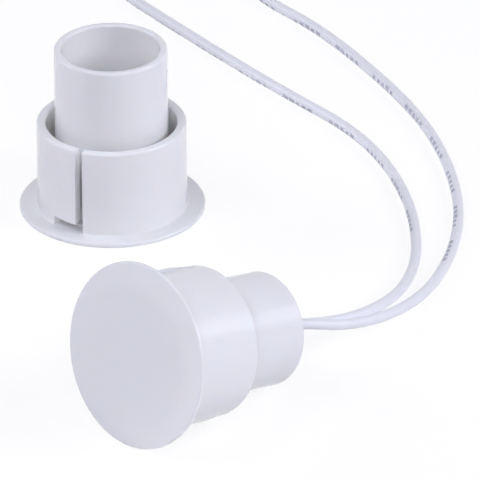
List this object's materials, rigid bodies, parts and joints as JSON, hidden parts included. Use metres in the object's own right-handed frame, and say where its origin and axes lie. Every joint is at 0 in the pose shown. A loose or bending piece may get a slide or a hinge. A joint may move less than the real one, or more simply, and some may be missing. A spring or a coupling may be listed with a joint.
{
  "type": "recessed magnetic contact",
  "caption": "Recessed magnetic door contact: a round flanged reed switch half with wire leads and a matching magnet half, for snap fitting into drilled sheet metal.",
  "frame": {"origin": "centre of the magnet half's face, where it stands on the table", "axes": "+Z along the magnet half's axis from its face to its tube's open end; +Y away from the switch half, roughly along the table past both halves"},
  "size_m": [0.0751, 0.2076, 0.0309],
  "materials": {
    "white_moulding": "smooth injection-moulded white plastic with a soft sheen",
    "nickel_plate": "nickel plated magnet",
    "adhesive": "poured off-white adhesive",
    "reed_glass": "clear drawn glass",
    "reed_metal": "nickel-iron wire",
    "solder": "bright solder",
    "copper": "bare stranded copper",
    "black_sleeve": "black shrink sleeve",
    "lead_insulation": "white insulation with faint grey ink marks",
    "potting": "cast white epoxy",
    "white_band": "thin white band",
    "tinned_wire": "tinned and twisted copper strands"
  },
  "bodies": {
    "root": {"magnet_collar": "white_moulding", "magnet_tube": "white_moulding", "magnet": "nickel_plate", "magnet_adhesive": "adhesive", "switch_collar": "white_moulding", "switch_tube": "white_moulding", "reed_glass": "reed_glass", "reed_blade_front": "reed_metal", "reed_blade_rear": "reed_metal", "solder_joint_front": "solder", "solder_joint_rear": "solder", "outer_lead_core": "copper", "inner_lead_core": "copper", "sleeve_front": "black_sleeve", "sleeve_rear": "black_sleeve", "outer_lead_potted": "lead_insulation", "inner_lead_potted": "lead_insulation", "potting": "potting", "outer_lead": "lead_insulation", "inner_lead": "lead_insulation", "outer_lead_coil": "lead_insulation", "inner_lead_coil": "lead_insulation", "outer_lead_tie": "white_band", "inner_lead_tie": "white_band", "outer_lead_end": "tinned_wire", "inner_lead_end": "tinned_wire"}
  },
  "joints": []
}
